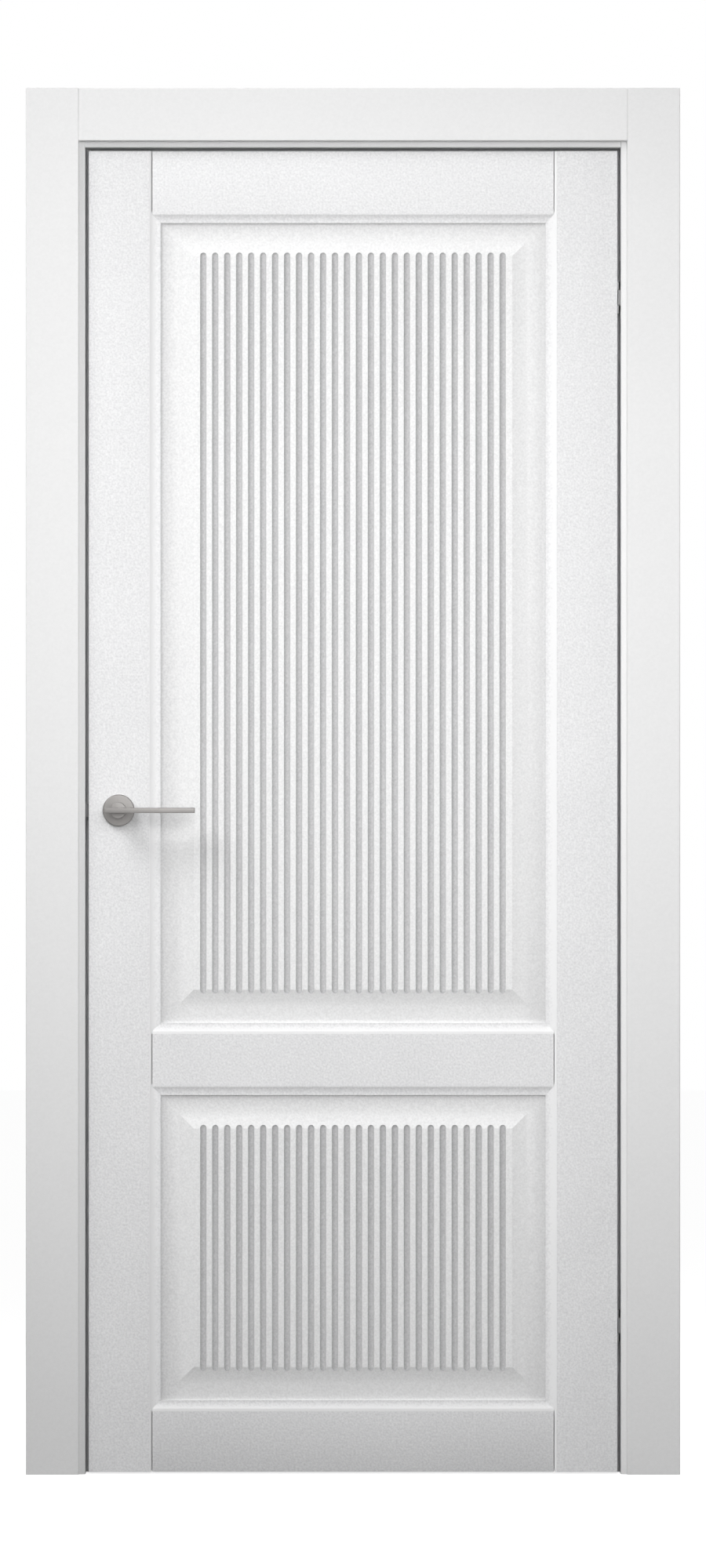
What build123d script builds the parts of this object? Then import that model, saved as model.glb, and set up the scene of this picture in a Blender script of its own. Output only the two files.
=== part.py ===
from build123d import *
import math
import os

os.makedirs("parts", exist_ok=True)

# Interior door set in its frame. Millimetres, +Z up, the viewed face towards -Y.
# The pieces are drawn about the middle of the doorway, with the floor at Z 0 and the
# middle of the wall at Y 0. The finished set is moved so that its origin lies at the
# foot of the hinge jamb, in the middle of the face that is fixed to the wall.

# Leaf and its place in the frame
leaf_width = 800.0
leaf_height = 2000.0
leaf_thickness = 40.0
leaf_gap = 5.0
floor_gap = 3.0
leaf_setback = 5.0
latch_edge_bevel = 1.5

# Frame, stops, seals and casings
wall_thickness = 100.0
jamb_thickness = 32.0
jamb_edge_radius = 1.5
stop_overlap = 6.0
seal_room = 5.0
seal_clearance = 0.4
seal_width = 9.0
seal_edge_radius = 2.4
casing_width = 80.0
casing_thickness = 10.0
casing_reveal = 9.5
casing_edge_radius = 1.5

# Stiles, rails and the coved moulding on their inner edges
member_width = 108.6
middle_rail_width = 109.5
middle_rail_height = 625.3
cove_width = 16.6
cove_depth = 5.0
rail_recess = 2.3
lip_thickness = 3.0
groove_depth = 14.0
tenon_clearance = 1.0

# Raised and fluted panels
tongue_length = 12.0
tongue_clearance = 0.2
panel_margin = 50.4
field_setback = 0.3
flute_pitch = 18.12
flute_width = 10.0
flute_depth = 3.6
flute_side_land = 12.0
flute_run_out = 5.4

# Lever handle on round roses
handle_height = 1002.0
backset = 45.5
rose_diameter = 48.0
rose_thickness = 8.0
neck_diameter = 24.0
journal_diameter = 16.0
journal_clearance = 0.05
lever_clearance = 0.5
lever_projection = 56.0
lever_reach = 116.0
lever_tail = 20.0
lever_bar_height = 8.0
lever_bar_depth = 18.0
lever_edge_bevel = 0.6
spindle_side = 8.0
spindle_insertion = 22.0
spindle_bore_diameter = 22.0
spindle_hub_diameter = 13.0

# Latch and its strike plate
forend_thickness = 3.0
forend_width = 20.0
forend_height = 170.0
forend_set = 1.2
case_depth = 68.0
case_thickness = 16.0
case_above = 45.0
case_below = 70.0
bolt_thickness = 12.0
bolt_height = 20.0
bolt_throw = 11.0
bolt_length = 31.0
bolt_clearance = 0.2
latch_travel = 11.5
strike_thickness = 2.0
strike_width = 24.0
strike_height = 90.0
strike_clearance = 2.0
strike_pocket_depth = 9.0

# Concealed hinges
hinge_end_distance = 220.0
hinge_body_height = 110.0
hinge_body_width = 32.0
hinge_body_depth = 26.0
hinge_wall = 2.0
hinge_front_lip = 4.0
hinge_axis_ahead = 4.0
hinge_pocket_height = 56.0
arm_pivot_inset = 9.5
arm_pivot_behind = 17.0
arm_half_thickness = 3.0
arm_half_height = 24.0
arm_tongue_half_height = 11.5
arm_level_clearance = 0.5
arm_web_distance = 9.0
hinge_pin_radius = 2.0
hinge_pin_clearance = 0.08

# Places worked out from the sizes above
front_y = -wall_thickness / 2
back_y = wall_thickness / 2
leaf_front_y = front_y + leaf_setback
leaf_back_y = leaf_front_y + leaf_thickness
leaf_middle_y = (leaf_front_y + leaf_back_y) / 2
stop_front_y = leaf_back_y + seal_room
leaf_edge_x = leaf_width / 2
jamb_inner_x = leaf_edge_x + leaf_gap
jamb_outer_x = jamb_inner_x + jamb_thickness
stop_inner_x = leaf_edge_x - stop_overlap
leaf_bottom_z = floor_gap
leaf_top_z = leaf_bottom_z + leaf_height
head_inner_z = leaf_top_z + leaf_gap
head_outer_z = head_inner_z + jamb_thickness
stop_inner_z = leaf_top_z - stop_overlap
casing_inner_x = jamb_inner_x + casing_reveal
casing_outer_x = casing_inner_x + casing_width
casing_inner_z = head_inner_z + casing_reveal
casing_outer_z = casing_inner_z + casing_width

inner_edge_x = leaf_edge_x - member_width
cove_foot_front_y = leaf_front_y + cove_depth
cove_foot_back_y = leaf_back_y - cove_depth
lip_front_y = cove_foot_front_y + lip_thickness
lip_back_y = cove_foot_back_y - lip_thickness
cove_radius = (cove_width ** 2 + cove_depth ** 2) / (2 * cove_depth)

handle_x = -leaf_edge_x + backset
handle_z = leaf_bottom_z + handle_height
forend_x = -leaf_edge_x + forend_set
bolt_tip_x = forend_x - bolt_throw

hinge_axis_x = leaf_edge_x + leaf_gap / 2
hinge_axis_y = leaf_front_y - hinge_axis_ahead
hinge_body_front_y = leaf_front_y + hinge_front_lip
hinge_body_back_y = hinge_body_front_y + hinge_body_width
arm_pivot_x = jamb_inner_x + arm_pivot_inset
arm_pivot_y = hinge_axis_y + arm_pivot_behind
arm_knuckle_y = hinge_axis_y + 2 * arm_pivot_behind
hinge_places = {"bottom": hinge_end_distance, "top": leaf_height - hinge_end_distance}

row_shift_x = -jamb_outer_x
hinge_side = Plane.YZ
mid_leaf = Plane(origin=(0, leaf_middle_y, 0), z_dir=(0, 1, 0))
mid_wall = Plane(origin=(0, 0, 0), z_dir=(0, 1, 0))
hinge_line = Plane(origin=(hinge_axis_x, 0, 0), z_dir=(1, 0, 0))


def save(name, shape):
    """Moves one finished piece to the row's origin and writes it."""
    export_step(Pos(row_shift_x, 0, 0) * shape, f"parts/{name}.step")


def block(x_span, y_span, z_span):
    """A box between two places along each axis."""
    middle = [(span[0] + span[1]) / 2 for span in (x_span, y_span, z_span)]
    sides = [abs(span[1] - span[0]) for span in (x_span, y_span, z_span)]
    return Pos(*middle) * Box(*sides)


def rod_along_y(radius, y_span, x=handle_x, z=handle_z):
    """A round bar across the leaf, on the handle's axis unless a place is given."""
    length = y_span[1] - y_span[0]
    return Pos(x, (y_span[0] + y_span[1]) / 2, z) * Rot(90, 0, 0) * Cylinder(radius, length)


def upright_rod(radius, x, y, z_span):
    length = z_span[1] - z_span[0]
    return Pos(x, y, (z_span[0] + z_span[1]) / 2) * Cylinder(radius, length)


def laid_level(shape):
    """Turns a piece drawn upright, with its width along X, to run across the doorway."""
    return Rot(0, -90, 0) * shape


def eased(shape, wanted, radius):
    """Rounds the edges of a shape that a test picks out."""
    return fillet(shape.edges().filter_by(wanted), radius)


# Frame

def jamb():
    """Hinge jamb: a board with its room-side corner rounded and a mortise for each hinge."""
    board = block((jamb_inner_x, jamb_outer_x), (front_y, back_y), (0, head_outer_z))
    board = eased(board, on_jamb_corner, jamb_edge_radius)
    for height in hinge_places.values():
        board -= hinge_block(height, 1)
    return board


def on_jamb_corner(edge):
    middle = edge.center()
    return abs(middle.X - jamb_inner_x) < 0.01 and abs(middle.Y - front_y) < 0.01


def latch_jamb():
    """Latch jamb: the same board, cut for the strike plate and the pocket behind it."""
    board = block((jamb_inner_x, jamb_outer_x), (front_y, back_y), (0, head_outer_z))
    board = mirror(eased(board, on_jamb_corner, jamb_edge_radius), about=hinge_side)
    return board - strike_block() - strike_pocket()


def head_jamb():
    """Head: a board between the two jambs, with its lower front corner rounded."""
    board = block((-jamb_inner_x, jamb_inner_x), (front_y, back_y), (head_inner_z, head_outer_z))
    return eased(board, on_head_corner, jamb_edge_radius)


def on_head_corner(edge):
    middle = edge.center()
    return abs(middle.Z - head_inner_z) < 0.01 and abs(middle.Y - front_y) < 0.01


def side_stop():
    """Stop strip on the jamb, which the closed leaf overlaps."""
    return block((stop_inner_x, jamb_inner_x), (stop_front_y, back_y), (0, head_inner_z))


def head_stop():
    return block((-stop_inner_x, stop_inner_x), (stop_front_y, back_y), (stop_inner_z, head_inner_z))


def seal_section(inner, outer):
    """Soft seal on the stop, with a rounded face just clear of the closed leaf."""
    seal_front_y = leaf_back_y + seal_clearance
    strip = block((inner, outer), (seal_front_y, stop_front_y), (0, head_inner_z))
    return fillet(strip.edges().filter_by(Axis.Z).group_by(Axis.Y)[0], seal_edge_radius)


def side_seal():
    return seal_section(jamb_inner_x - seal_width, jamb_inner_x)


def head_seal():
    span = 2 * (jamb_inner_x - seal_width)
    seal_front_y = leaf_back_y + seal_clearance
    strip = block((-span / 2, span / 2), (seal_front_y, stop_front_y),
                  (head_inner_z - seal_width, head_inner_z))
    return fillet(strip.edges().filter_by(Axis.X).group_by(Axis.Y)[0], seal_edge_radius)


def side_casing():
    """Flat casing board from floor to top, with eased front edges."""
    board = block((casing_inner_x, casing_outer_x), (front_y - casing_thickness, front_y),
                  (0, casing_outer_z))
    return fillet(board.edges().filter_by(Axis.Z).group_by(Axis.Y)[0], casing_edge_radius)


def head_casing():
    """Head casing, butted between the two side casings."""
    board = block((-casing_inner_x, casing_inner_x), (front_y - casing_thickness, front_y),
                  (casing_inner_z, casing_outer_z))
    return fillet(board.edges().filter_by(Axis.X).group_by(Axis.Y)[0], casing_edge_radius)


# Leaf joinery

def cove_reach(recess):
    """Width of the cove on a member whose face lies back by the recess."""
    rise = cove_depth - recess
    return math.sqrt(cove_radius ** 2 - (cove_radius - rise) ** 2)


def moulded_edge(foot, inward, recess):
    """Section of a coved edge with the groove that holds the panel's tongue."""
    reach = foot + inward * cove_reach(recess)
    bed = foot + inward * groove_depth
    front = TangentArc((foot, cove_foot_front_y), (reach, leaf_front_y + recess), tangent=(inward, 0))
    back = TangentArc((foot, cove_foot_back_y), (reach, leaf_back_y - recess), tangent=(inward, 0))
    groove = Polyline((foot, cove_foot_front_y), (foot, lip_front_y), (bed, lip_front_y),
                      (bed, lip_back_y), (foot, lip_back_y), (foot, cove_foot_back_y))
    return [front, groove, back], reach


def plain_edge(place, recess):
    return [Line((place, leaf_front_y + recess), (place, leaf_back_y - recess))], place


def member(low, high, low_moulded, high_moulded, recess, length):
    """A stile or rail as sawn to length: upright, with its width along X."""
    low_lines, low_face = moulded_edge(low, 1, recess) if low_moulded else plain_edge(low, recess)
    high_lines, high_face = moulded_edge(high, -1, recess) if high_moulded else plain_edge(high, recess)
    front = Line((low_face, leaf_front_y + recess), (high_face, leaf_front_y + recess))
    back = Line((low_face, leaf_back_y - recess), (high_face, leaf_back_y - recess))
    section = make_face(low_lines + high_lines + [front, back])
    return extrude(section, amount=length)


def stile():
    """Hinge stile before its mortises are cut."""
    return Pos(0, 0, leaf_bottom_z) * member(inner_edge_x, leaf_edge_x, True, False, 0, leaf_height)


def hinge_stile():
    piece = stile()
    for height in hinge_places.values():
        piece -= hinge_block(height, -1)
    return piece


def latch_stile():
    """Latch stile: bevelled outer edge, latch mortise and the bore for the spindle."""
    piece = mirror(stile(), about=hinge_side)
    edge = Polyline((-leaf_edge_x, leaf_front_y), (-leaf_edge_x + latch_edge_bevel, leaf_back_y),
                    (-leaf_edge_x, leaf_back_y), (-leaf_edge_x, leaf_front_y))
    shaving = Pos(0, 0, leaf_bottom_z) * extrude(make_face(edge.edges()), amount=leaf_height)
    bore = rod_along_y(spindle_bore_diameter / 2, (leaf_front_y, leaf_back_y))
    return piece - shaving - forend_block() - case_block() - bore


def rail(low, high, low_moulded, high_moulded):
    """A rail scribed over the stiles' coves, with stub tenons in their grooves."""
    half = inner_edge_x + groove_depth - tenon_clearance
    blank = member(low, high, low_moulded, high_moulded, rail_recess, 2 * half)
    blank = Pos(0, 0, leaf_bottom_z) * laid_level(Pos(0, 0, -half) * blank)
    return blank - stile() - mirror(stile(), about=hinge_side)


def panel_section(low, high):
    """Section of a raised panel: tongue, flat foot, concave margin and field, both faces."""
    foot_front_y = lip_front_y + tongue_clearance
    foot_back_y = lip_back_y - tongue_clearance
    field_front_y = leaf_front_y + field_setback
    field_back_y = leaf_back_y - field_setback
    lines = []
    for side_y, field_y in ((foot_front_y, field_front_y), (foot_back_y, field_back_y)):
        lines.append(Line((low - tongue_length, side_y), (low, side_y)))
        lines.append(TangentArc((low, side_y), (low + panel_margin, field_y), tangent=(1, 0)))
        lines.append(Line((low + panel_margin, field_y), (high - panel_margin, field_y)))
        lines.append(TangentArc((high, side_y), (high - panel_margin, field_y), tangent=(-1, 0)))
        lines.append(Line((high, side_y), (high + tongue_length, side_y)))
    for end in (low - tongue_length, high + tongue_length):
        lines.append(Line((end, foot_front_y), (end, foot_back_y)))
    return make_face(lines)


def flute_cutter(field_y, outward, z_span):
    """Round cutter for one flute, run out through the margin past both ends of the field."""
    radius = (flute_width ** 2 / 4 + flute_depth ** 2) / (2 * flute_depth)
    y = field_y + outward * (radius - flute_depth)
    return upright_rod(radius, 0, y, (z_span[0] - flute_run_out, z_span[1] + flute_run_out))


def raised_panel(low, high):
    """A loose panel between two rails, fluted on both faces."""
    width = 2 * (inner_edge_x + tongue_length)
    height = high - low + 2 * tongue_length
    upright = extrude(panel_section(-inner_edge_x, inner_edge_x), amount=height)
    upright = Pos(0, 0, low - tongue_length) * upright
    level = laid_level(Pos(0, 0, -width / 2) * extrude(panel_section(low, high), amount=width))
    panel = upright & level
    field_width = 2 * (inner_edge_x - panel_margin)
    flute_count = int((field_width - 2 * flute_side_land) / flute_pitch) + 1
    first_x = -(flute_count - 1) * flute_pitch / 2
    field_span = (low + panel_margin, high - panel_margin)
    front_cutter = flute_cutter(leaf_front_y + field_setback, -1, field_span)
    back_cutter = flute_cutter(leaf_back_y - field_setback, 1, field_span)
    places = [Pos(first_x + number * flute_pitch, 0, 0) for number in range(flute_count)]
    return panel - [place * cutter for place in places for cutter in (front_cutter, back_cutter)]


# Handle

def rose():
    """Round rose on the leaf's front face, bored for the lever's journal."""
    disc = rod_along_y(rose_diameter / 2, (leaf_front_y - rose_thickness, leaf_front_y))
    hole = rod_along_y(journal_diameter / 2 + journal_clearance,
                       (leaf_front_y - rose_thickness, leaf_front_y))
    return disc - hole


def lever():
    """Flat bar lever with a round neck, and a journal that turns in the rose."""
    bar_front_y = leaf_front_y - lever_projection
    bar_back_y = bar_front_y + lever_bar_depth
    neck_end_y = leaf_front_y - rose_thickness - lever_clearance
    bar = block((handle_x - lever_tail, handle_x + lever_reach), (bar_front_y, bar_back_y),
                (handle_z - lever_bar_height / 2, handle_z + lever_bar_height / 2))
    bar = chamfer(bar.edges(), lever_edge_bevel)
    neck = rod_along_y(neck_diameter / 2, (bar_back_y, neck_end_y))
    journal = rod_along_y(journal_diameter / 2, (neck_end_y, leaf_front_y))
    return bar + neck + journal - spindle()


def spindle():
    """Square bar that joins the two levers through the latch."""
    half = spindle_side / 2
    return block((handle_x - half, handle_x + half),
                 (leaf_front_y - spindle_insertion, leaf_back_y + spindle_insertion),
                 (handle_z - half, handle_z + half))


# Latch

def forend_block():
    return block((-leaf_edge_x, forend_x + forend_thickness),
                 (leaf_middle_y - forend_width / 2, leaf_middle_y + forend_width / 2),
                 (handle_z - forend_height / 2, handle_z + forend_height / 2))


def case_block():
    return block((forend_x + forend_thickness, forend_x + forend_thickness + case_depth),
                 (leaf_middle_y - case_thickness / 2, leaf_middle_y + case_thickness / 2),
                 (handle_z - case_below, handle_z + case_above))


def bolt_channel(x_span):
    half_y = bolt_thickness / 2 + bolt_clearance
    half_z = bolt_height / 2 + bolt_clearance
    return block(x_span, (leaf_middle_y - half_y, leaf_middle_y + half_y),
                 (handle_z - half_z, handle_z + half_z))


def forend():
    """Face plate of the latch, let into the leaf's edge."""
    plate = block((forend_x, forend_x + forend_thickness),
                  (leaf_middle_y - forend_width / 2, leaf_middle_y + forend_width / 2),
                  (handle_z - forend_height / 2, handle_z + forend_height / 2))
    return plate - bolt_channel((forend_x, forend_x + forend_thickness))


def latch_case():
    """Latch case in the stile, with the bolt's channel and the hole for the spindle."""
    channel_end = bolt_tip_x + bolt_length + latch_travel + bolt_clearance
    channel = bolt_channel((forend_x + forend_thickness, channel_end))
    hub = rod_along_y(spindle_hub_diameter / 2, (leaf_front_y, leaf_back_y))
    return case_block() - channel - hub


def latch_bolt():
    """Spring bolt: its back face is bevelled so that the closing leaf pushes it in."""
    half_y = bolt_thickness / 2
    nose = Polyline((bolt_tip_x, leaf_middle_y - half_y),
                    (bolt_tip_x, leaf_middle_y - half_y / 2),
                    (bolt_tip_x + bolt_throw, leaf_middle_y + half_y),
                    (bolt_tip_x + bolt_length, leaf_middle_y + half_y),
                    (bolt_tip_x + bolt_length, leaf_middle_y - half_y),
                    (bolt_tip_x, leaf_middle_y - half_y))
    body = extrude(make_face(nose.edges()), amount=bolt_height)
    return Pos(0, 0, handle_z - bolt_height / 2) * body


def strike_block():
    return block((-jamb_inner_x - strike_thickness, -jamb_inner_x),
                 (leaf_middle_y - strike_width / 2, leaf_middle_y + strike_width / 2),
                 (handle_z - strike_height / 2, handle_z + strike_height / 2))


def strike_pocket():
    half_y = bolt_thickness / 2 + strike_clearance
    half_z = bolt_height / 2 + strike_clearance
    return block((-jamb_inner_x - strike_pocket_depth, -jamb_inner_x),
                 (leaf_middle_y - half_y, leaf_middle_y + half_y), (handle_z - half_z, handle_z + half_z))


def strike_plate():
    """Plate let into the jamb, with the window that the bolt springs into."""
    return strike_block() - strike_pocket()


# Concealed hinges

def hinge_block(height, side):
    """Outline of one hinge body: in the jamb on side 1, in the leaf on side -1."""
    mouth = hinge_axis_x + side * leaf_gap / 2
    middle_z = leaf_bottom_z + height
    half = hinge_body_height / 2
    return block((mouth, mouth + side * hinge_body_depth), (hinge_body_front_y, hinge_body_back_y),
                 (middle_z - half, middle_z + half))


def hinge_body(height, side):
    """Mortised body: a block with the pocket that its arm folds into, and the arm's pin."""
    mouth = hinge_axis_x + side * leaf_gap / 2
    middle_z = leaf_bottom_z + height
    half = hinge_pocket_height / 2
    pocket = block((mouth, mouth + side * (hinge_body_depth - hinge_wall)),
                   (hinge_body_front_y + hinge_wall, hinge_body_back_y - hinge_wall),
                   (middle_z - half, middle_z + half))
    pin_x = hinge_axis_x + side * (arm_pivot_x - hinge_axis_x)
    pin = upright_rod(hinge_pin_radius, pin_x, arm_pivot_y, (middle_z - half, middle_z + half))
    return hinge_block(height, side) - pocket + pin


def arm_plan():
    """The cranked arm on the jamb side: pivot, elbow and the knuckle between the bodies."""
    half = arm_half_thickness
    lines = Polyline((hinge_axis_x, arm_knuckle_y + half), (arm_pivot_x + half, arm_knuckle_y + half),
                     (arm_pivot_x + half, arm_pivot_y - half), (arm_pivot_x - half, arm_pivot_y - half),
                     (arm_pivot_x - half, arm_knuckle_y - half), (hinge_axis_x, arm_knuckle_y - half))
    knuckle = CenterArc((hinge_axis_x, arm_knuckle_y), half, 90, 180)
    return make_face(lines.edges() + knuckle.edges())


def frame_arm(height):
    """Arm that turns on the jamb body and carries the pin between the two arms."""
    middle_z = leaf_bottom_z + height
    plate = extrude(arm_plan(), amount=arm_tongue_half_height, both=True)
    hole = upright_rod(hinge_pin_radius + hinge_pin_clearance, arm_pivot_x, arm_pivot_y,
                       (-arm_half_height, arm_half_height))
    pin = upright_rod(hinge_pin_radius, hinge_axis_x, arm_knuckle_y, (-arm_half_height, arm_half_height))
    return Pos(0, 0, middle_z) * (plate - hole + pin)


def leaf_arm(height):
    """Forked arm that turns on the leaf body and straddles the other arm at the knuckle."""
    middle_z = leaf_bottom_z + height
    plate = extrude(arm_plan(), amount=arm_half_height, both=True)
    slot_half = arm_tongue_half_height + arm_level_clearance
    slot = block((hinge_axis_x - 2 * arm_half_thickness, hinge_axis_x + arm_web_distance),
                 (arm_knuckle_y - 2 * arm_half_thickness, arm_knuckle_y + 2 * arm_half_thickness),
                 (-slot_half, slot_half))
    bore = hinge_pin_radius + hinge_pin_clearance
    pivot_hole = upright_rod(bore, arm_pivot_x, arm_pivot_y, (-arm_half_height, arm_half_height))
    knuckle_hole = upright_rod(bore, hinge_axis_x, arm_knuckle_y, (-arm_half_height, arm_half_height))
    arm = plate - slot - pivot_hole - knuckle_hole
    return Pos(0, 0, middle_z) * mirror(arm, about=hinge_line)


# Frame pieces
save("jamb_hinge_side", jamb())
save("jamb_latch_side", latch_jamb())
save("jamb_head", head_jamb())
save("stop_hinge_side", side_stop())
save("stop_latch_side", mirror(side_stop(), about=hinge_side))
save("stop_head", head_stop())
save("seal_hinge_side", side_seal())
save("seal_latch_side", mirror(side_seal(), about=hinge_side))
save("seal_head", head_seal())
save("casing_front_right", side_casing())
save("casing_front_left", mirror(side_casing(), about=hinge_side))
save("casing_front_head", head_casing())
save("casing_back_right", mirror(side_casing(), about=mid_wall))
save("casing_back_left", mirror(mirror(side_casing(), about=hinge_side), about=mid_wall))
save("casing_back_head", mirror(head_casing(), about=mid_wall))
save("strike_plate", strike_plate())

# Leaf pieces
middle_low = middle_rail_height - middle_rail_width / 2
middle_high = middle_rail_height + middle_rail_width / 2
top_low = leaf_height - member_width
save("stile_hinge_side", hinge_stile())
save("stile_latch_side", latch_stile())
save("rail_bottom", rail(0, member_width, False, True))
save("rail_middle", rail(middle_low, middle_high, True, True))
save("rail_top", rail(top_low, leaf_height, True, False))
save("panel_lower", raised_panel(leaf_bottom_z + member_width, leaf_bottom_z + middle_low))
save("panel_upper", raised_panel(leaf_bottom_z + middle_high, leaf_bottom_z + top_low))

# Handle and latch
save("rose_front", rose())
save("rose_back", mirror(rose(), about=mid_leaf))
save("lever_front", lever())
save("lever_back", mirror(lever(), about=mid_leaf))
save("spindle", spindle())
save("latch_forend", forend())
save("latch_case", latch_case())
save("latch_bolt", latch_bolt())

# Hinges
for place, height in hinge_places.items():
    save(f"hinge_body_frame_{place}", hinge_body(height, 1))
    save(f"hinge_body_leaf_{place}", hinge_body(height, -1))
    save(f"hinge_arm_frame_{place}", frame_arm(height))
    save(f"hinge_arm_leaf_{place}", leaf_arm(height))
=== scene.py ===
import math

import bmesh
import bpy
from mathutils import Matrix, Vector


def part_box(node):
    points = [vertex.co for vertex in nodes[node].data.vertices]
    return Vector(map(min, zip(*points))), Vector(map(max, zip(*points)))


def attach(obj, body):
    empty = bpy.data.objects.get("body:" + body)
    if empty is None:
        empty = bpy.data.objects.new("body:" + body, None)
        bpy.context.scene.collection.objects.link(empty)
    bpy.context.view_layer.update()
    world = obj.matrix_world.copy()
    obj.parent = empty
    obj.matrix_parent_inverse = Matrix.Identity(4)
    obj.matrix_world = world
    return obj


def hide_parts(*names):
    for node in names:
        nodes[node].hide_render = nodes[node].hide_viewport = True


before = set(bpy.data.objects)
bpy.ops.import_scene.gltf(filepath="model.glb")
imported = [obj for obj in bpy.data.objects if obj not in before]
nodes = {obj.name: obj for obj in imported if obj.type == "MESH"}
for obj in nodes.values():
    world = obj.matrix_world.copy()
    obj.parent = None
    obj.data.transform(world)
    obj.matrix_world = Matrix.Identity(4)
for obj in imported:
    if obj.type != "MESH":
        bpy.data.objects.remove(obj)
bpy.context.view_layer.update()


# The view: a camera far back on the middle of the doorway, so that the door shows almost without
# perspective, as it does in the photograph. The floor line lies 880 pixels below the middle, and
# the colours are shown as they are.

doorway_middle_x = sum(corner.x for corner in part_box("jamb_head")) / 2
face_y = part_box("stile_hinge_side")[0].y
camera_distance = 12.0
metres_per_pixel = 0.001187
picture_pixels_high = 2000
floor_pixels_below_middle = 880.2
camera_height = metres_per_pixel * floor_pixels_below_middle
sensor_size = 36.0
sight_limit = 100.0

camera_data = bpy.data.cameras.new("door_view")
camera_data.sensor_width = sensor_size
camera_data.lens = sensor_size * camera_distance / (metres_per_pixel * picture_pixels_high)
camera_data.clip_end = sight_limit
camera = bpy.data.objects.new("door_view", camera_data)
camera.location = (doorway_middle_x, face_y - camera_distance, camera_height)
camera.rotation_euler = (math.radians(90), 0, 0)
bpy.context.scene.collection.objects.link(camera)
bpy.context.scene.camera = camera
bpy.context.scene.view_settings.view_transform = "Standard"


# The jambs, head and stops: planed softwood boards that line the opening, painted white with a
# roller. The paint is smooth and nearly matt, with a faint roller stipple in it.

frame_shades = ((0.80, 0.80, 0.80), (0.86, 0.86, 0.86))
frame_roughness = 0.42
stipple_per_metre = 420.0
stipple_depth = 0.00008

paint_clouds_per_metre = 7.0
paint_cloud_share = 0.35
paint_grain_detail = 3.0
paint_speck_contrast = 2.8
paint_sheen_change = 0.1


class Value:
    """A value in a finish's nodes. Python's own signs on it add Math nodes."""

    def __init__(self, finish, socket):
        self.finish = finish
        self.socket = socket

    def maths(self, operation, first, second):
        return self.finish.add("ShaderNodeMath", {"operation": operation}, {0: first, 1: second})

    def __add__(self, other):
        return self.maths("ADD", self, other)

    def __radd__(self, other):
        return self.maths("ADD", other, self)

    def __sub__(self, other):
        return self.maths("SUBTRACT", self, other)

    def __rsub__(self, other):
        return self.maths("SUBTRACT", other, self)

    def __mul__(self, other):
        return self.maths("MULTIPLY", self, other)

    def __rmul__(self, other):
        return self.maths("MULTIPLY", other, self)

    def rounded(self):
        return self.maths("ROUND", self, 0.0)

    def size(self):
        """The value without its sign."""
        return self.maths("ABSOLUTE", self, 0.0)

    def or_less(self, other):
        return self.maths("MINIMUM", self, other)

    def or_more(self, other):
        return self.maths("MAXIMUM", self, other)

    def kept_between(self, low, high):
        return self.or_more(low).or_less(high)


class Finish:
    """The look of a surface, or of the room, whose nodes are added one at a time."""

    def __init__(self, name, kind="materials", surface="Principled BSDF"):
        self.material = getattr(bpy.data, kind).new(name)
        self.material.use_nodes = True
        self.tree = self.material.node_tree
        self.surface = self.tree.nodes[surface]

    def add(self, kind, settings, inputs, output=0):
        """Adds one node with its settings, feeds its inputs and gives back one of its outputs."""
        node = self.tree.nodes.new(kind)
        for name, value in settings.items():
            setattr(node, name, value)
        for name, value in inputs.items():
            self.feed(node.inputs[name], value)
        return Value(self, node.outputs[output])

    def feed(self, socket, value):
        if isinstance(value, Value):
            self.tree.links.new(value.socket, socket)
        else:
            socket.default_value = value

    def place(self, stretch=(1.0, 1.0, 1.0)):
        """The point on the piece, in metres, drawn out along the axes."""
        point = self.add("ShaderNodeTexCoord", {}, {}, output="Object")
        return self.add("ShaderNodeMapping", {}, {"Vector": point, "Scale": stretch})

    def along(self, place, axis):
        """How far a point lies along the X, Y or Z axis."""
        return self.add("ShaderNodeSeparateXYZ", {}, {0: place}, output=axis)

    def noise(self, place, per_metre, detail=2.0):
        return self.add("ShaderNodeTexNoise", {}, {"Vector": place, "Scale": per_metre, "Detail": detail})

    def shades(self, share, low, high):
        """A colour that goes from one shade to another with a value from 0 to 1."""
        return self.add("ShaderNodeMix", {"data_type": "RGBA"},
                        {"Factor": share, 6: (*low, 1), 7: (*high, 1)}, output=2)

    def bumps(self, height, depth):
        return self.add("ShaderNodeBump", {}, {"Height": height, "Distance": depth, "Strength": 1.0})

    def wear(self, **inputs):
        """Feeds the finish's own surface."""
        for name, value in inputs.items():
            self.feed(self.surface.inputs[name.replace("_", " ")], value)


def white_paint(name, shades, grain_per_metre, grain_depth, roughness, painted_highlight=None):
    """White paint: two near shades in soft clouds and fine specks, over a fine grain. A function
    of the paint and the place may add a painted highlight, where the paint is made whiter."""
    paint = Finish(name)
    place = paint.place()
    clouds = paint.noise(place, paint_clouds_per_metre)
    grain = paint.noise(place, grain_per_metre, paint_grain_detail)
    specks = (grain - 0.5) * paint_speck_contrast + 0.5
    cover = clouds * paint_cloud_share + specks * (1 - paint_cloud_share)
    # Painted highlight: the paint is made whiter where the given function says.
    if painted_highlight:
        cover = cover + painted_highlight(paint, place)
    paint.wear(Base_Color=paint.shades(cover, *shades),
               Roughness=clouds * paint_sheen_change + roughness,
               Normal=paint.bumps(grain, grain_depth))
    return paint.material


def give(material, *names):
    """Puts a finish on CAD nodes."""
    for name in names:
        nodes[name].data.materials.clear()
        nodes[name].data.materials.append(material)


frame_paint = white_paint("frame_paint", frame_shades, stipple_per_metre, stipple_depth, frame_roughness)
give(frame_paint, "jamb_hinge_side", "jamb_latch_side", "jamb_head",
     "stop_hinge_side", "stop_latch_side", "stop_head")


# The seals: soft light grey rubber strips, pressed into the stops all round, which the closed leaf
# all but touches. They are drawn out lengthwise, and show as a line in the gap beside the leaf.

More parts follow.
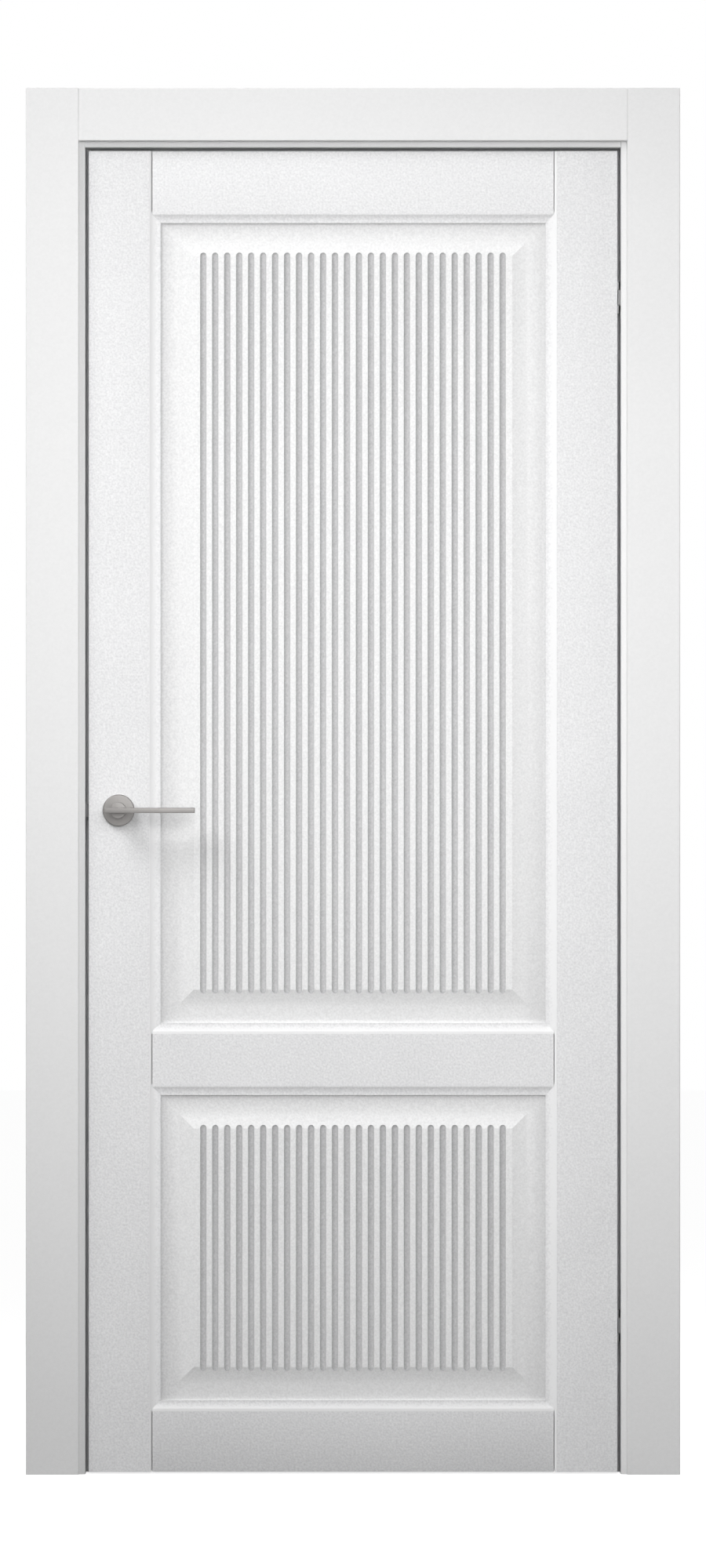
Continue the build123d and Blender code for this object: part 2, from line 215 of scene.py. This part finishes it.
seal_shades = ((0.74, 0.74, 0.75), (0.84, 0.84, 0.85))
seal_roughness = 0.55
seal_sheen_change = 0.2
seal_grain_per_metre = 900.0
seal_grain_stretch = (1.0, 1.0, 0.1)
seal_grain_depth = 0.00006

seal_rubber = Finish("seal_rubber")
seal_grain = seal_rubber.noise(seal_rubber.place(seal_grain_stretch), seal_grain_per_metre)
seal_rubber.wear(Base_Color=seal_rubber.shades(seal_grain, *seal_shades),
                 Roughness=seal_grain * seal_sheen_change + seal_roughness,
                 Normal=seal_rubber.bumps(seal_grain, seal_grain_depth))
give(seal_rubber.material, "seal_hinge_side", "seal_latch_side", "seal_head")


# The casings: flat boards with eased edges, pinned over the joint of frame and wall on both
# faces. They are sprayed smooth and white, and the head butts between the sides.

casing_shades = ((0.84, 0.84, 0.84), (0.88, 0.88, 0.88))
casing_roughness = 0.40
spray_grain_per_metre = 260.0
spray_grain_depth = 0.00004

casing_paint = white_paint("casing_paint", casing_shades, spray_grain_per_metre, spray_grain_depth,
                           casing_roughness)
give(casing_paint, "casing_front_left", "casing_front_right", "casing_front_head",
     "casing_back_left", "casing_back_right", "casing_back_head")


# The stiles: the leaf's full-height uprights, with a cove run along their inner edges on both
# faces and a groove for the panels, and mortised for the hinges and the latch. They are sprayed
# with a white enamel that dries to a fine pebbly grain, and a highlight is painted along each
# cove, whitest at its arris.

leaf_low, leaf_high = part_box("stile_hinge_side")
latch_low, latch_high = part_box("stile_latch_side")
leaf_thickness = leaf_high.y - leaf_low.y
leaf_length = leaf_high.z - leaf_low.z
opening_middle_x = (leaf_low.x + latch_high.x) / 2
opening_half_width = (leaf_low.x - latch_high.x) / 2

moulding_width = 0.0166
foot_width = 0.0012
cove_width = moulding_width - foot_width
cove_depth = 0.005
cove_radius = (cove_width ** 2 + cove_depth ** 2) / (2 * cove_depth)
cove_steps = 10
lip_thickness = 0.003
groove_depth = 0.014
arris_round = 0.0005
arris_round_steps = 2
latch_edge_bevel = 0.0015
past_the_edge = 0.002
weld_distance = 0.00001
same_place = 0.00002
member_crease_degrees = 25

enamel_shades = ((0.74, 0.74, 0.75), (0.97, 0.97, 0.975))
enamel_roughness = 0.45
enamel_grain_per_metre = 330.0
enamel_grain_depth = 0.0003
# Painted highlight: the share of the moulding's width in which it ends past the arris.
highlight_fade_share = 0.02


def painted_cove_highlight(from_edge):
    """A painted highlight along a cove: grows from 0 at its foot to 1 at its arris, and is 0 elsewhere."""
    share = from_edge * (1 / moulding_width)
    return share.kept_between(0, 1) - ((share - 1) * (1 / highlight_fade_share)).kept_between(0, 1)


# Painted highlight along both stiles' coves, whitest at their arrises.
def stile_cove_highlights(paint, place):
    return painted_cove_highlight((paint.along(place, "X") - opening_middle_x).size() - opening_half_width)


stile_enamel = white_paint("stile_enamel", enamel_shades, enamel_grain_per_metre, enamel_grain_depth,
                           enamel_roughness, stile_cove_highlights)


def begin(kind, name, centre, sizes, turn=(0.0, 0.0, 0.0), **settings):
    """Adds a primitive by itself, at its size and place, and opens it for editing."""
    bpy.ops.object.select_all(action="DESELECT")
    getattr(bpy.ops.mesh, f"primitive_{kind}_add")(location=centre, rotation=turn, **settings)
    piece = bpy.context.object
    piece.name = name
    piece.data.name = name
    piece.scale = sizes
    bpy.ops.object.transform_apply(location=True, rotation=True, scale=True)
    bpy.ops.object.mode_set(mode="EDIT")
    return piece


def pick(piece, kind, wanted):
    """Selects the piece's verts, edges or faces whose middle passes a test, and nothing else."""
    bpy.ops.mesh.select_mode(type={"verts": "VERT", "edges": "EDGE", "faces": "FACE"}[kind])
    bpy.ops.mesh.select_all(action="DESELECT")
    shape = bmesh.from_edit_mesh(piece.data)
    for item in getattr(shape, kind):
        if kind == "verts":
            item.select_set(wanted(item.co))
        elif kind == "edges":
            item.select_set(wanted((item.verts[0].co + item.verts[1].co) / 2))
        else:
            item.select_set(wanted(item.calc_center_median()))
    shape.select_flush_mode()
    bmesh.update_edit_mesh(piece.data)


def near(value, goal):
    return abs(value - goal) < same_place


def hold(piece):
    """Leaves editing with this piece alone selected."""
    bpy.ops.object.mode_set(mode="OBJECT")
    bpy.ops.object.select_all(action="DESELECT")
    piece.select_set(True)
    bpy.context.view_layer.objects.active = piece


def close_up(piece):
    """Makes a piece one closed skin that faces outwards, with its place in its mesh."""
    hold(piece)
    bpy.ops.object.transform_apply(location=True, rotation=True, scale=True)
    bpy.ops.object.mode_set(mode="EDIT")
    bpy.ops.mesh.select_all(action="SELECT")
    bpy.ops.mesh.remove_doubles(threshold=weld_distance)
    bpy.ops.mesh.normals_make_consistent(inside=False)
    bpy.ops.object.mode_set(mode="OBJECT")


def coat(piece, material, crease_degrees):
    """Smooths a piece where it curves, sharp from the angle up, and gives it its finish."""
    hold(piece)
    bpy.ops.object.shade_smooth_by_angle(angle=math.radians(crease_degrees))
    piece.data.materials.clear()
    piece.data.materials.append(material)


def join_to_part(piece, body, slot, *replaced):
    """Hangs the piece on the body that it rides on and hides the nodes that it stands for. The slot, a
    finish's name, is not used.
    """
    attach(piece, body)
    if replaced:
        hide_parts(*replaced)


def slope_at_face(recess):
    """Slope of the cove where it meets a face that lies lower by the recess."""
    return math.acos(1 - (cove_depth - recess) / cove_radius)


def draw_edge(x, y):
    """Draws the selected upright edge out into a flat strip."""
    bpy.ops.mesh.extrude_region_move(TRANSFORM_OT_translate={"value": (x, y, 0)})


def turn_edge(centre_x, centre_y, angle):
    """Turns the selected edge about an upright axis into part of a cove."""
    bpy.ops.mesh.spin(steps=cove_steps, angle=angle, center=(centre_x, centre_y, 0), axis=(0, 0, 1))


def member(name, low, high, moulded, recess, length):
    """A stile or rail, upright, from x = low to x = high and from z = 0 up to its length.
    One edge of its front face is drawn round the section, which gives coves, feet and grooves."""
    front = face_y + recess
    back = face_y + leaf_thickness - recess
    feet = (face_y + cove_depth, face_y + leaf_thickness - cove_depth)
    turn = slope_at_face(recess)
    reach = cove_radius * math.sin(turn)
    face_low = low + foot_width + reach if "low" in moulded else low
    face_high = high - foot_width - reach if "high" in moulded else high
    piece = begin("plane", name, ((face_low + face_high) / 2, front, length / 2),
                  (face_high - face_low, length, 1), turn=(math.radians(90), 0, 0), size=1)
    pick(piece, "edges", lambda middle: near(middle.x, face_high))
    for side, edge, way in (("high", high, 1), ("low", low, -1)):
        near_foot, far_foot = feet[::way]
        if side in moulded:
            foot = edge - way * foot_width
            turn_edge(foot, near_foot - way * cove_radius, turn)
            draw_edge(way * foot_width, 0)
            draw_edge(0, way * lip_thickness)
            draw_edge(-way * groove_depth, 0)
            draw_edge(0, far_foot - near_foot - 2 * way * lip_thickness)
            draw_edge(way * groove_depth, 0)
            draw_edge(0, way * lip_thickness)
            draw_edge(-way * foot_width, 0)
            turn_edge(foot, far_foot + way * cove_radius, turn)
        else:
            draw_edge(0, way * (back - front))
        if side == "high":
            draw_edge(face_low - face_high, 0)
    bpy.ops.mesh.select_all(action="SELECT")
    bpy.ops.mesh.remove_doubles(threshold=weld_distance)
    for end in (0, length):
        pick(piece, "edges", lambda middle: near(middle.z, end))
        bpy.ops.mesh.edge_face_add()
    pick(piece, "edges", lambda middle: near(middle.z, length / 2)
         and (near(middle.x, face_low) or near(middle.x, face_high))
         and (near(middle.y, front) or near(middle.y, back)))
    bpy.ops.mesh.bevel(offset=arris_round, segments=arris_round_steps, affect="EDGES")
    return piece


def cut(piece, *cutters):
    """Cuts the forms of the cutters out of a piece, and clears them away."""
    hold(piece)
    for cutter in cutters:
        knife = piece.modifiers.new("cut", "BOOLEAN")
        knife.operation = "DIFFERENCE"
        knife.solver = "EXACT"
        knife.object = cutter
        bpy.ops.object.modifier_apply(modifier=knife.name)
        bpy.data.objects.remove(cutter)


def pocket_for(node, out_x=0.0):
    """A block of a fitting's size, drawn out past the edge that the fitting is let into."""
    low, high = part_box(node)
    low = low.copy()
    high = high.copy()
    low.x += min(out_x, 0)
    high.x += max(out_x, 0)
    block = begin("cube", "pocket", (low + high) / 2, high - low, size=1)
    bpy.ops.object.mode_set(mode="OBJECT")
    return block


hinge_stile = member("hinge_stile", leaf_low.x, leaf_high.x, ["low"], 0.0, leaf_length)
hold(hinge_stile)
hinge_stile.location.z = leaf_low.z
close_up(hinge_stile)
for place in ("bottom", "top"):
    cut(hinge_stile, pocket_for(f"hinge_body_leaf_{place}", past_the_edge))
join_to_part(hinge_stile, "leaf", "leaf_enamel", "stile_hinge_side")

latch_stile = member("latch_stile", latch_low.x, latch_high.x, ["high"], 0.0, leaf_length)
pick(latch_stile, "verts", lambda point: point.x < latch_low.x + 2 * arris_round
     and point.y > leaf_high.y - 2 * arris_round)
bpy.ops.transform.translate(value=(latch_edge_bevel, 0, 0))
hold(latch_stile)
latch_stile.location.z = leaf_low.z
close_up(latch_stile)
cut(latch_stile, pocket_for("latch_forend", -past_the_edge), pocket_for("latch_case"))
join_to_part(latch_stile, "leaf", "leaf_enamel", "stile_latch_side")


# The rails: the same moulded stock laid level, with faces a little lower than the stiles'. Their
# ends are scribed over the stiles' coves, so that the mouldings meet in a mitre. Their shoulders
# stand back from the coves' arrises, and the painted-over joint shows there as a narrow slit.

mitre_gap = 0.0005
shoulder_inset = 0.0038
shoulder_depth = 0.0025
slit_width = 0.0014
slit_depth = 0.009


# Painted highlight along the coves that face up, on the tops of the middle and bottom rails, where light
# from above falls on them.
def upward_cove_highlights(paint, place):
    z = paint.along(place, "Z")
    return painted_cove_highlight(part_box("rail_middle")[1].z - z) + painted_cove_highlight(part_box("rail_bottom")[1].z - z)


rail_enamel = white_paint("rail_enamel", enamel_shades, enamel_grain_per_metre, enamel_grain_depth,
                          enamel_roughness, upward_cove_highlights)


def scribe_copy(stile, shift_x):
    """A copy of a stile, moved by the width of the gap at the mitre."""
    knife = stile.copy()
    knife.data = stile.data.copy()
    knife.parent = None
    bpy.context.scene.collection.objects.link(knife)
    knife.location.x += shift_x
    return knife


def notches(low_x, high_x, depth, low_z, high_z):
    """Blocks that cut an upright notch of one depth into both faces of the leaf."""
    for y in (face_y, face_y + leaf_thickness):
        notch = begin("cube", "notch", ((low_x + high_x) / 2, y, (low_z + high_z) / 2),
                      (high_x - low_x, 2 * depth, high_z - low_z), size=1)
        hold(notch)
        yield notch


def level_rail(name, node, moulded):
    low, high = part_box(node)
    piece = member(name, low.z, high.z, moulded, low.y - face_y, high.x - low.x)
    hold(piece)
    piece.rotation_euler.y = math.radians(-90)
    piece.location.x = high.x
    close_up(piece)
    cut(piece, scribe_copy(hinge_stile, -mitre_gap), scribe_copy(latch_stile, mitre_gap))
    low_z = low.z + (moulding_width if "low" in moulded else -past_the_edge)
    high_z = high.z - (moulding_width if "high" in moulded else -past_the_edge)
    for stile, arris_x, inwards in ((hinge_stile, leaf_low.x + moulding_width, -1),
                                    (latch_stile, latch_high.x - moulding_width, 1)):
        shoulder_x = arris_x + inwards * shoulder_inset
        wedge_x = sorted((arris_x - inwards * arris_round, shoulder_x))
        slit_x = (shoulder_x - slit_width / 2, shoulder_x + slit_width / 2)
        cut(piece, *notches(*wedge_x, shoulder_depth, low_z, high_z))
        cut(piece, *notches(*slit_x, slit_depth, low_z, high_z))
        cut(stile, *notches(*slit_x, slit_depth, low_z, high_z))
    coat(piece, rail_enamel, member_crease_degrees)
    join_to_part(piece, "leaf", "leaf_enamel", node)


level_rail("top_rail", "rail_top", ["low"])
level_rail("middle_rail", "rail_middle", ["low", "high"])
level_rail("bottom_rail", "rail_bottom", ["high"])
coat(hinge_stile, stile_enamel, member_crease_degrees)
coat(latch_stile, stile_enamel, member_crease_degrees)


# The panels: loose boards held by a tongue in the grooves, raised on both faces by a concave
# margin, with twenty-six flutes run down the field by a round-nosed cutter. Shade is painted into
# the enamel: greyer in the flutes and at their lower ends, and close beside the stiles and under
# the rail above.

tongue_length = 0.012
panel_margin = 0.0504
margin_depth = 0.0079
margin_steps = 8
flute_pitch = 0.01812
flute_width = 0.010
flute_depth = 0.0036
flute_count = 26
flute_overrun = 0.0012
cutter_sides = 36
cutter_rings = 19
panel_crease_degrees = 12

panel_shades = ((0.46, 0.46, 0.467), (1.0, 1.0, 1.0))
panel_whiteness = 0.80
panel_speckle = 0.6
panel_cloud_share = 0.06
# Painted shade in the flutes: how far it reaches round each flute and how grey it is, more at the lower
# ends.
flute_shade_outer = 0.0048
flute_shade_inner = 0.0040
flute_painted_shade = 0.62
lower_end_painted_shade = 0.25
flute_roughening = 0.1
# Painted shade beside the stiles and under the rail above: how far it reaches and how grey it is.
moulding_shade_width = 0.045
moulding_painted_shade = 0.42


def flute_cutters(field_y, middle_y, first_x, low_z, high_z):
    """The space that a round-nosed cutter sweeps for every flute, on both faces."""
    radius = (flute_width ** 2 / 4 + flute_depth ** 2) / (2 * flute_depth)
    ball_radius = radius / math.cos(math.radians(90 / cutter_rings))
    y = field_y - (radius - flute_depth)
    cutter = begin("uv_sphere", "cutter", (first_x, y, low_z), (1, 1, 1), radius=ball_radius,
                   segments=cutter_sides, ring_count=cutter_rings)
    pick(cutter, "verts", lambda point: point.z > low_z)
    bpy.ops.transform.translate(value=(0, 0, high_z - low_z))
    bpy.ops.object.mode_set(mode="OBJECT")
    row = cutter.modifiers.new("row", "ARRAY")
    row.use_relative_offset = False
    row.use_constant_offset = True
    row.constant_offset_displace = (flute_pitch, 0, 0)
    row.count = flute_count
    bpy.ops.object.modifier_apply(modifier=row.name)
    bpy.ops.object.mode_set(mode="EDIT")
    bpy.ops.mesh.select_all(action="SELECT")
    bpy.ops.mesh.duplicate()
    bpy.ops.transform.resize(value=(1, -1, 1), center_override=(0, middle_y, 0))
    bpy.ops.mesh.select_all(action="SELECT")
    bpy.ops.mesh.normals_make_consistent(inside=False)
    return cutter


def fluted_enamel(name, node, first_x, low_z, high_z):
    """The leaf's enamel with painted shade: greyer in each flute with its round ends, and beside
    the stiles and under the rail above."""
    paint = Finish(name)
    place = paint.place()
    x, z = paint.along(place, "X"), paint.along(place, "Z")
    number = ((x - first_x) * (1 / flute_pitch)).rounded().kept_between(0, flute_count - 1)
    aside = x - first_x - number * flute_pitch
    past_end = z - z.kept_between(low_z, high_z)
    inside = flute_shade_outer ** 2 - (aside * aside + past_end * past_end)
    in_flute = (inside * (1 / (flute_shade_outer ** 2 - flute_shade_inner ** 2))).kept_between(0, 1)
    lower_end = ((low_z - z) * (1 / flute_shade_inner)).kept_between(0, 1)

    low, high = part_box(node)
    # Painted shade beside the stiles and under the rail above, fading over its width.
    from_side = (high.x - low.x) / 2 - tongue_length - (x - (low.x + high.x) / 2).size()
    from_top = high.z - tongue_length - z
    moulding_shade = (1 - from_side.or_less(from_top) * (1 / moulding_shade_width)).kept_between(0, 1)

    clouds = paint.noise(place, paint_clouds_per_metre)
    grain = paint.noise(place, enamel_grain_per_metre, paint_grain_detail)
    # Painted shade in the flutes, greyer still at their lower ends that face up.
    painted_shade = in_flute * (lower_end * lower_end_painted_shade + flute_painted_shade)
    painted_shade = painted_shade + moulding_shade * moulding_shade * moulding_painted_shade
    cover = clouds * panel_cloud_share + (grain - 0.5) * panel_speckle + (panel_whiteness - painted_shade)
    paint.wear(Base_Color=paint.shades(cover, *panel_shades),
               Roughness=in_flute * flute_roughening + enamel_roughness,
               Normal=paint.bumps(grain, enamel_grain_depth))
    return paint.material


def raised_panel(name, node):
    low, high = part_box(node)
    middle = (low + high) / 2
    foot_y = low.y + margin_depth
    radius = (panel_margin ** 2 + margin_depth ** 2) / (2 * margin_depth)
    piece = begin("plane", name, (middle.x, foot_y, middle.z), (high.x - low.x, high.z - low.z, 1),
                  turn=(math.radians(90), 0, 0), size=1)
    bpy.ops.mesh.select_all(action="SELECT")
    bpy.ops.mesh.inset(thickness=tongue_length, depth=0)
    step = math.asin(panel_margin / radius) / margin_steps
    for number in range(margin_steps):
        start, end = number * step, (number + 1) * step
        bpy.ops.mesh.inset(thickness=radius * (math.sin(end) - math.sin(start)),
                           depth=radius * (math.cos(start) - math.cos(end)))
    pick(piece, "edges", lambda at: near(at.x, low.x) or near(at.x, high.x) or near(at.z, low.z)
         or near(at.z, high.z))
    draw_edge(0, middle.y - foot_y)
    bpy.ops.mesh.select_all(action="SELECT")
    bpy.ops.mesh.duplicate()
    bpy.ops.transform.resize(value=(1, -1, 1), center_override=(0, middle.y, 0))
    close_up(piece)
    first_x = middle.x - (flute_count - 1) * flute_pitch / 2
    edge = tongue_length + panel_margin - flute_overrun
    cut(piece, flute_cutters(low.y, middle.y, first_x, low.z + edge, high.z - edge))
    enamel = fluted_enamel(f"{name}_enamel", node, first_x, low.z + edge, high.z - edge)
    coat(piece, enamel, panel_crease_degrees)
    join_to_part(piece, "leaf", "leaf_enamel", node)


raised_panel("upper_panel", "panel_upper")
raised_panel("lower_panel", "panel_lower")


# The handle: a flat bar lever with a round neck, on a round rose on each face of the leaf. All of
# it is cast zinc, satin nickel plated and brushed along the bar. A square spindle of plated steel
# joins the levers through the leaf.

rose_sides = 96
rose_edge_round = 0.0016
rose_edge_steps = 4
bar_height = 0.008
bar_depth = 0.018
bar_edge_round = 0.0008
bar_edge_steps = 3
neck_radius = 0.012
neck_sides = 72
neck_grip = 0.001
neck_shoulder_round = 0.0005
neck_shoulder_steps = 4
neck_foot_round = 0.0004
neck_foot_steps = 2
lever_clearance = 0.0005
edge_least_degrees = 30
metal_crease_degrees = 35

nickel_shades = ((0.192, 0.185, 0.179), (0.230, 0.223, 0.217))
nickel_roughness = 0.42
nickel_lines_per_metre = (200.0, 3500.0, 3500.0)
steel_shades = ((0.30, 0.30, 0.305), (0.38, 0.38, 0.385))
steel_roughness = 0.30
steel_lines_per_metre = (2500.0, 2500.0, 150.0)

metal_line_share = 0.6
metal_line_detail = 3.0
metal_line_depth = 0.000015
metal_clouds_per_metre = 60.0
metal_line_sheen_change = 0.12
metal_cloud_sheen_change = 0.06


def brushed_metal(name, shades, lines_per_metre, roughness):
    """Plated metal with fine brushed lines, drawn out along the axis that has the fewest."""
    metal = Finish(name)
    lines = metal.noise(metal.place(lines_per_metre), 1.0, metal_line_detail)
    clouds = metal.noise(metal.place(), metal_clouds_per_metre)
    cover = lines * metal_line_share + clouds * (1 - metal_line_share)
    uneven_sheen = lines * metal_line_sheen_change + clouds * metal_cloud_sheen_change
    metal.wear(Base_Color=metal.shades(cover, *shades), Metallic=1.0, Roughness=uneven_sheen + roughness,
               Normal=metal.bumps(lines, metal_line_depth))
    return metal.material


satin_nickel = brushed_metal("satin_nickel", nickel_shades, nickel_lines_per_metre, nickel_roughness)
plated_steel = brushed_metal("plated_steel", steel_shades, steel_lines_per_metre, steel_roughness)


def soften(piece, radius, steps):
    """Rounds every sharp edge of a piece."""
    hold(piece)
    rounding = piece.modifiers.new("soften", "BEVEL")
    rounding.width = radius
    rounding.segments = steps
    rounding.limit_method = "ANGLE"
    rounding.angle_limit = math.radians(edge_least_degrees)
    bpy.ops.object.modifier_apply(modifier=rounding.name)


def rose_piece(name, node):
    low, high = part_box(node)
    piece = begin("cylinder", name, (low + high) / 2, (1, 1, 1), turn=(math.radians(90), 0, 0),
                  radius=(high.x - low.x) / 2, depth=high.y - low.y, vertices=rose_sides)
    outer_y = low.y if "front" in node else high.y
    pick(piece, "edges", lambda at: near(at.y, outer_y))
    bpy.ops.mesh.bevel(offset=rose_edge_round, segments=rose_edge_steps, affect="EDGES")
    close_up(piece)
    coat(piece, satin_nickel, metal_crease_degrees)
    join_to_part(piece, "leaf", "satin_nickel", node)


def lever_piece(name, node, rose):
    """A bar with softened edges, grown together with the round neck that stands on the rose."""
    low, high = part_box(node)
    rose_low, rose_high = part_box(rose)
    middle = (low + high) / 2
    outwards = -1 if rose_low.y < face_y else 1
    bar_outer = low.y if outwards < 0 else high.y
    bar_inner = bar_outer - outwards * bar_depth
    neck_x = (rose_low.x + rose_high.x) / 2
    neck_end = (rose_low.y if outwards < 0 else rose_high.y) + outwards * lever_clearance
    neck_top = bar_inner + outwards * neck_grip
    lever = begin("cube", name, (middle.x, (bar_outer + bar_inner) / 2, middle.z),
                  (high.x - low.x, bar_depth, bar_height), size=1)
    soften(lever, bar_edge_round, bar_edge_steps)
    neck = begin("cylinder", "neck", (neck_x, (neck_top + neck_end) / 2, middle.z), (1, 1, 1),
                 turn=(math.radians(90), 0, 0), radius=neck_radius, depth=abs(neck_end - neck_top),
                 vertices=neck_sides)
    pick(neck, "edges", lambda at: near(at.y, neck_top))
    bpy.ops.mesh.bevel(offset=neck_shoulder_round, segments=neck_shoulder_steps, affect="EDGES")
    pick(neck, "edges", lambda at: near(at.y, neck_end))
    bpy.ops.mesh.bevel(offset=neck_foot_round, segments=neck_foot_steps, affect="EDGES")
    hold(lever)
    union = lever.modifiers.new("grow_together", "BOOLEAN")
    union.operation = "UNION"
    union.solver = "EXACT"
    union.object = neck
    bpy.ops.object.modifier_apply(modifier=union.name)
    bpy.data.objects.remove(neck)
    coat(lever, satin_nickel, metal_crease_degrees)
    join_to_part(lever, "handle", "satin_nickel", node)


rose_piece("front_rose", "rose_front")
rose_piece("back_rose", "rose_back")
lever_piece("front_lever", "lever_front", "rose_front")
lever_piece("back_lever", "lever_back", "rose_back")
give(plated_steel, "spindle")


# The latch: a steel case let into the stile, closed by a forend, and a strike plate let into the
# jamb, all zinc plated and brushed along their length. The bolt is darker, rubbed lengthwise.

bolt_shades = ((0.11, 0.11, 0.112), (0.15, 0.15, 0.152))
bolt_roughness = 0.42
bolt_lines_per_metre = (150.0, 2500.0, 2500.0)

bolt_steel = brushed_metal("bolt_steel", bolt_shades, bolt_lines_per_metre, bolt_roughness)
give(plated_steel, "latch_forend", "latch_case", "strike_plate")
give(bolt_steel, "latch_bolt")


# The concealed hinges: bodies and cranked arms of die-cast zinc with a dull silver plating. The
# bodies are let into the leaf's edge and the jamb, and the arms fold into them.

casting_shades = ((0.34, 0.34, 0.345), (0.42, 0.42, 0.425))
casting_roughness = 0.38
casting_grains_per_metre = (900.0, 900.0, 700.0)

hinge_casting = brushed_metal("hinge_casting", casting_shades, casting_grains_per_metre, casting_roughness)
give(hinge_casting, *[name for name in nodes if name.startswith("hinge_")])


# The screws: cross-headed ones with low raised heads, two in each fitting, zinc plated steel. They
# hold the latch, the strike plate and the hinge bodies in their mortises.

screw_radius = 0.0038
screw_sides = 32
screw_depth = 0.0014
screw_proud = 0.0004
screw_rim_round = 0.0003
screw_rim_steps = 2
cross_length = 0.0042
cross_width = 0.0009
screw_end_distance = 0.013


def screw_head(name, x, y, z, faces):
    """One head whose face looks along x, to the left for -1 and to the right for 1."""
    outer = x + faces * screw_proud
    head = begin("cylinder", name, (outer - faces * screw_depth / 2, y, z), (1, 1, 1),
                 turn=(0, math.radians(90), 0), radius=screw_radius, depth=screw_depth,
                 vertices=screw_sides)
    pick(head, "edges", lambda at: near(at.x, outer))
    bpy.ops.mesh.bevel(offset=screw_rim_round, segments=screw_rim_steps, affect="EDGES")
    hold(head)
    for height, width in ((cross_length, cross_width), (cross_width, cross_length)):
        slot = begin("cube", "slot", (outer, y, z), (screw_depth, width, height), size=1)
        hold(slot)
        cut(head, slot)
    return head


def screw_pair(name, fitting, faces, body):
    low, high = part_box(fitting)
    x = high.x if faces > 0 else low.x
    y = (low.y + high.y) / 2
    lower = screw_head(name, x, y, low.z + screw_end_distance, faces)
    upper = screw_head("upper", x, y, high.z - screw_end_distance, faces)
    hold(lower)
    upper.select_set(True)
    bpy.ops.object.join()
    coat(lower, plated_steel, metal_crease_degrees)
    join_to_part(lower, body, "latch_steel")


screw_pair("forend_screws", "latch_forend", -1, "leaf")
screw_pair("strike_screws", "strike_plate", 1, "frame")
for place in ("bottom", "top"):
    screw_pair(f"hinge_screws_frame_{place}", f"hinge_body_frame_{place}", -1, "frame")
    screw_pair(f"hinge_screws_leaf_{place}", f"hinge_body_leaf_{place}", 1, "leaf")


# The floor and the room are white to the camera, and in metal and glass, and a plain pale grey to
# the light that falls on them. The floor keeps a faint shadow of the door.

white = (1.0, 1.0, 1.0, 1.0)
floor_size = 30.0
floor_glow = 0.8
floor_grey = 0.1
floor_lit_white = 0.65
room_level = 0.27


def seen_share(finish):
    """1 where a ray comes from the camera, off metal or through glass, and 0 for all other light."""
    kinds = ("Is Camera Ray", "Is Glossy Ray", "Is Transmission Ray")
    direct, mirrored, through = (finish.add("ShaderNodeLightPath", {}, {}, output=kind) for kind in kinds)
    return direct + mirrored + through


def backdrop_finish(name):
    """Nearly white by its own glow to the eye, with the light and shadow that fall on it added."""
    finish = Finish(name)
    seen = seen_share(finish)
    glow = finish.add("ShaderNodeEmission", {}, {"Color": white, "Strength": seen * floor_glow})
    lit_colour = seen * (floor_lit_white - floor_grey) + floor_grey
    matt = finish.add("ShaderNodeBsdfDiffuse", {}, {"Color": lit_colour})
    shown = finish.add("ShaderNodeAddShader", {}, {0: matt, 1: glow})
    finish.feed(finish.tree.nodes["Material Output"].inputs["Surface"], shown)
    return finish.material


bpy.ops.object.select_all(action="DESELECT")
bpy.ops.mesh.primitive_plane_add(size=floor_size, location=(doorway_middle_x, 0, 0))
floor = bpy.context.object
floor.name = "floor"
floor.data.materials.append(backdrop_finish("floor_white"))

room = Finish("room", kind="worlds", surface="Background")
room.wear(Color=white, Strength=seen_share(room) * (1 - room_level) + room_level)
bpy.context.scene.world = room.material


# The lamps: two soft square ones, up to the left and in front, are turned to the upper two thirds of
# the door, so that the light fades towards the floor. A third one lights the back of the door.

lamp_spread_degrees = 60


def lamp(name, right, forward, up, aim_up, size, watts):
    """A square soft lamp, placed from the middle of the threshold, that faces up the middle."""
    data = bpy.data.lights.new(name, "AREA")
    data.size = size
    data.energy = watts
    data.spread = math.radians(lamp_spread_degrees)
    light = bpy.data.objects.new(name, data)
    light.location = (doorway_middle_x + right, -forward, up)
    aim = Vector((doorway_middle_x, 0, aim_up))
    light.rotation_euler = (aim - light.location).to_track_quat("-Z", "Y").to_euler()
    bpy.context.scene.collection.objects.link(light)


lamp("key_lamp", right=-2.4, forward=2.0, up=4.0, aim_up=1.3, size=2.0, watts=13.2)
lamp("fill_lamp", right=0.5, forward=3.6, up=2.0, aim_up=1.2, size=2.2, watts=12.4)
lamp("back_lamp", right=2.8, forward=-2.6, up=3.2, aim_up=1.2, size=2.0, watts=24.0)
